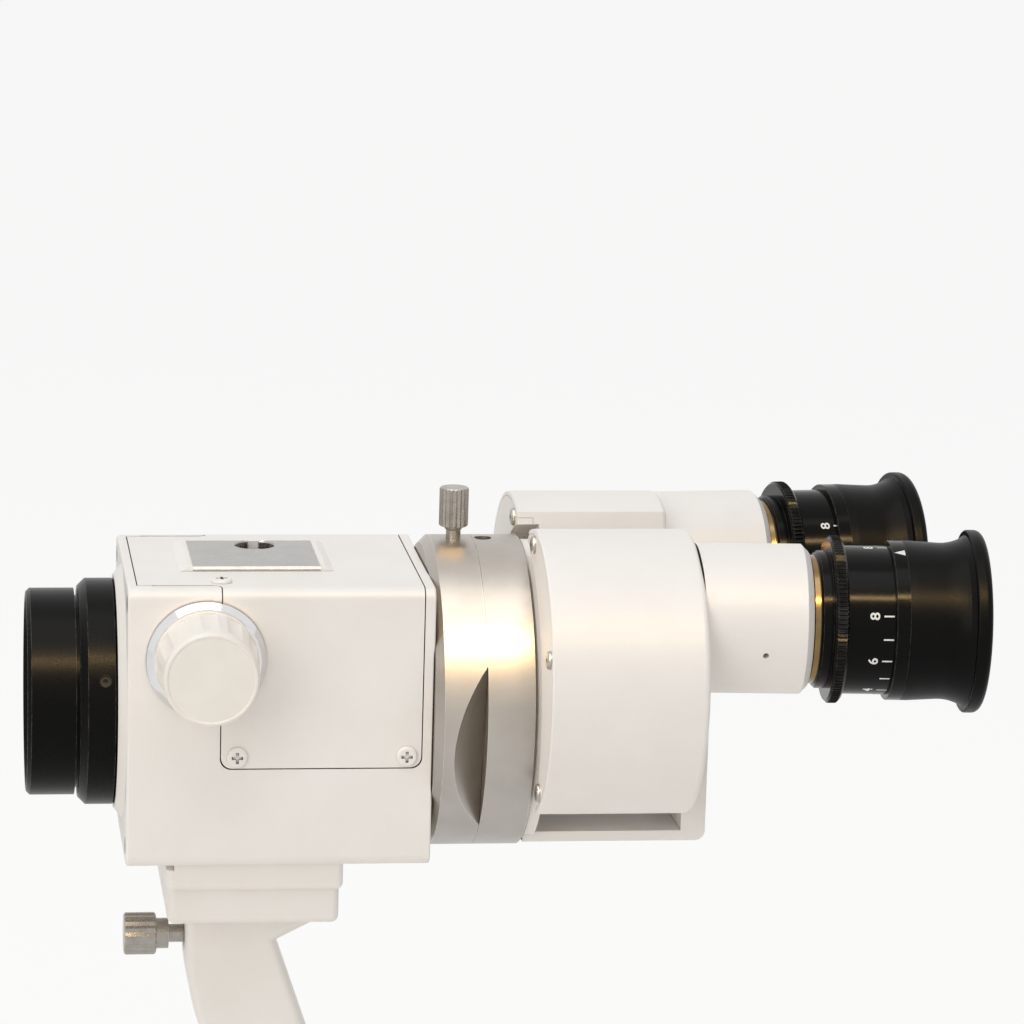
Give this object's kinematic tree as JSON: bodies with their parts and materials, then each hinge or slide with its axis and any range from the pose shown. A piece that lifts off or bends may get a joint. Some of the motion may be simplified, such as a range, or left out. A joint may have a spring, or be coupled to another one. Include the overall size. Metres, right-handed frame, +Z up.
{
  "type": "slit_lamp_stereo_microscope",
  "caption": "Stereo microscope head of a slit lamp on its arm: objective, magnification knobs, swinging prism housings and eyepieces with dioptre scales.",
  "frame": {"origin": "centre of the underside of the arm's bolted foot", "axes": "X along the optical axis from the objective towards the examiner, Y towards the examiner's right, Z up"},
  "size_m": [0.2541, 0.1268, 0.2244],
  "materials": {
    "white_paint": "off-white fine-textured enamel",
    "bare_aluminium": "bead-blasted, clear anodised",
    "bright_plate": "fine-milled, clear anodised",
    "black_anodised": "turned, black satin anodised",
    "black_gloss": "polished black",
    "nickel": "nickel-plated, turned and ribbed",
    "chrome": "polished chrome plate",
    "knob_plastic": "moulded, fine matt",
    "rubber": "moulded, matt",
    "coated_glass": "coated optical glass",
    "steel": "machined steel",
    "black_steel": "black oxide",
    "brass": "machined brass",
    "bronze": "sintered bronze",
    "black_inner": "matt black inside"
  },
  "bodies": {
    "microscope": {"arm_casting": "white_paint", "mounting_foot": "white_paint", "foot_screws": "black_steel", "body_casting": "white_paint", "front_plate": "white_paint", "front_plate_screws": "black_steel", "top_cover": "white_paint", "cover_screws": "white_paint", "accessory_plate": "bright_plate", "objective_lock_ring": "black_anodised", "lock_ring_grubs": "black_steel", "objective_barrel": "black_anodised", "objective_lens": "coated_glass", "objective_retainer": "black_anodised", "adapter_ring": "bare_aluminium", "adapter_screws": "black_steel", "head_ring": "bare_aluminium", "ring_grub": "black_steel", "head_bracket": "white_paint", "bracket_screws": "black_steel", "changer_frame": "black_inner", "changer_bushes": "bronze", "detent_spring": "steel", "detent_ball": "steel"},
    "lens_drum": {"changer_drum": "black_inner", "drum_lenses": "coated_glass", "drum_gear": "brass"},
    "magnification_knob": {"knob_shaft": "steel", "knob_gear": "brass", "knob_skirts": "chrome", "knob_caps": "knob_plastic", "knob_grubs": "black_steel"},
    "head_clamp_pad": {"clamp_pad": "brass"},
    "head_clamp_screw": {"clamp_screw": "nickel"},
    "arm_lock_pad": {"lock_pad": "brass"},
    "arm_lock_screw": {"lock_screw": "nickel"},
    "left_swing": {"left_prism_housing": "white_paint", "left_housing_cover": "white_paint", "left_housing_screws": "steel", "left_swing_gear": "brass", "left_prism": "coated_glass", "left_tube_lens": "coated_glass", "left_eyepiece_tube": "white_paint", "left_eyepiece_barrel": "brass"},
    "left_dioptre": {"left_dioptre_drum": "black_gloss"},
    "left_eye_end": {"left_index_sleeve": "black_gloss", "left_eyecup": "rubber", "left_eyepiece_lenses": "coated_glass"},
    "right_swing": {"right_prism_housing": "white_paint", "right_housing_cover": "white_paint", "right_housing_screws": "steel", "right_swing_gear": "brass", "right_prism": "coated_glass", "right_tube_lens": "coated_glass", "right_eyepiece_tube": "white_paint", "right_eyepiece_barrel": "brass"},
    "right_dioptre": {"right_dioptre_drum": "black_gloss"},
    "right_eye_end": {"right_index_sleeve": "black_gloss", "right_eyecup": "rubber", "right_eyepiece_lenses": "coated_glass"}
  },
  "joints": [
    {"name": "magnification_turn", "type": "hinge", "parent": "microscope", "child": "magnification_knob", "pos_m": [-0.0355, 0, 0.1853], "axis": [0, 1, 0], "continuous": true},
    {"name": "drum_turn", "type": "hinge", "parent": "microscope", "child": "lens_drum", "pos_m": [-0.01886, 0, 0.168], "axis": [0, 1, 0], "continuous": true},
    {"name": "right_swing_turn", "type": "hinge", "parent": "microscope", "child": "right_swing", "pos_m": [0.058, 0.012, 0.168], "axis": [1, 0, 0], "range_deg": [-2, 13]},
    {"name": "left_swing_turn", "type": "hinge", "parent": "microscope", "child": "left_swing", "pos_m": [0.058, -0.012, 0.168], "axis": [1, 0, 0], "range_deg": [-13, 2]},
    {"name": "left_dioptre_turn", "type": "hinge", "parent": "left_swing", "child": "left_dioptre", "pos_m": [0.118, -0.03485, 0.1958], "axis": [0.9971, -0.076, 0], "range_deg": [0, 324.1]},
    {"name": "left_eye_end_slide", "type": "slide", "parent": "left_swing", "child": "left_eye_end", "axis": [0.9971, -0.076, 0], "range_m": [-0.0072, 0]},
    {"name": "right_dioptre_turn", "type": "hinge", "parent": "right_swing", "child": "right_dioptre", "pos_m": [0.118, 0.03485, 0.1958], "axis": [0.9971, 0.076, 0], "range_deg": [-108.1, 216.1]},
    {"name": "right_eye_end_slide", "type": "slide", "parent": "right_swing", "child": "right_eye_end", "axis": [0.9971, 0.076, 0], "range_m": [-0.0048, 0.0024]},
    {"name": "head_clamp_travel", "type": "slide", "parent": "microscope", "child": "head_clamp_pad", "axis": [0, 0, 1], "range_m": [0, 0.0021]},
    {"name": "head_clamp_turn", "type": "hinge", "parent": "head_clamp_pad", "child": "head_clamp_screw", "pos_m": [0.0335, 0, 0.218], "axis": [0, 0, 1], "range_deg": [0, 1080.5]},
    {"name": "arm_lock_travel", "type": "slide", "parent": "microscope", "child": "arm_lock_pad", "axis": [-1, 0, 0], "range_m": [0, 0.0024]},
    {"name": "arm_lock_turn", "type": "hinge", "parent": "arm_lock_pad", "child": "arm_lock_screw", "pos_m": [-0.047, 0, 0.0991], "axis": [-1, 0, 0], "range_deg": [0, 1080.5]}
  ],
  "couplings": [
    {"joint": "drum_turn", "follows": "magnification_turn", "ratio": -1},
    {"joint": "left_swing_turn", "follows": "right_swing_turn", "ratio": -1},
    {"joint": "left_dioptre_turn", "follows": "left_eye_end_slide", "rad_per_m": -785.4},
    {"joint": "right_dioptre_turn", "follows": "right_eye_end_slide", "rad_per_m": -785.4},
    {"joint": "head_clamp_turn", "follows": "head_clamp_travel", "rad_per_m": 8976},
    {"joint": "arm_lock_turn", "follows": "arm_lock_travel", "rad_per_m": 7854}
  ]
}
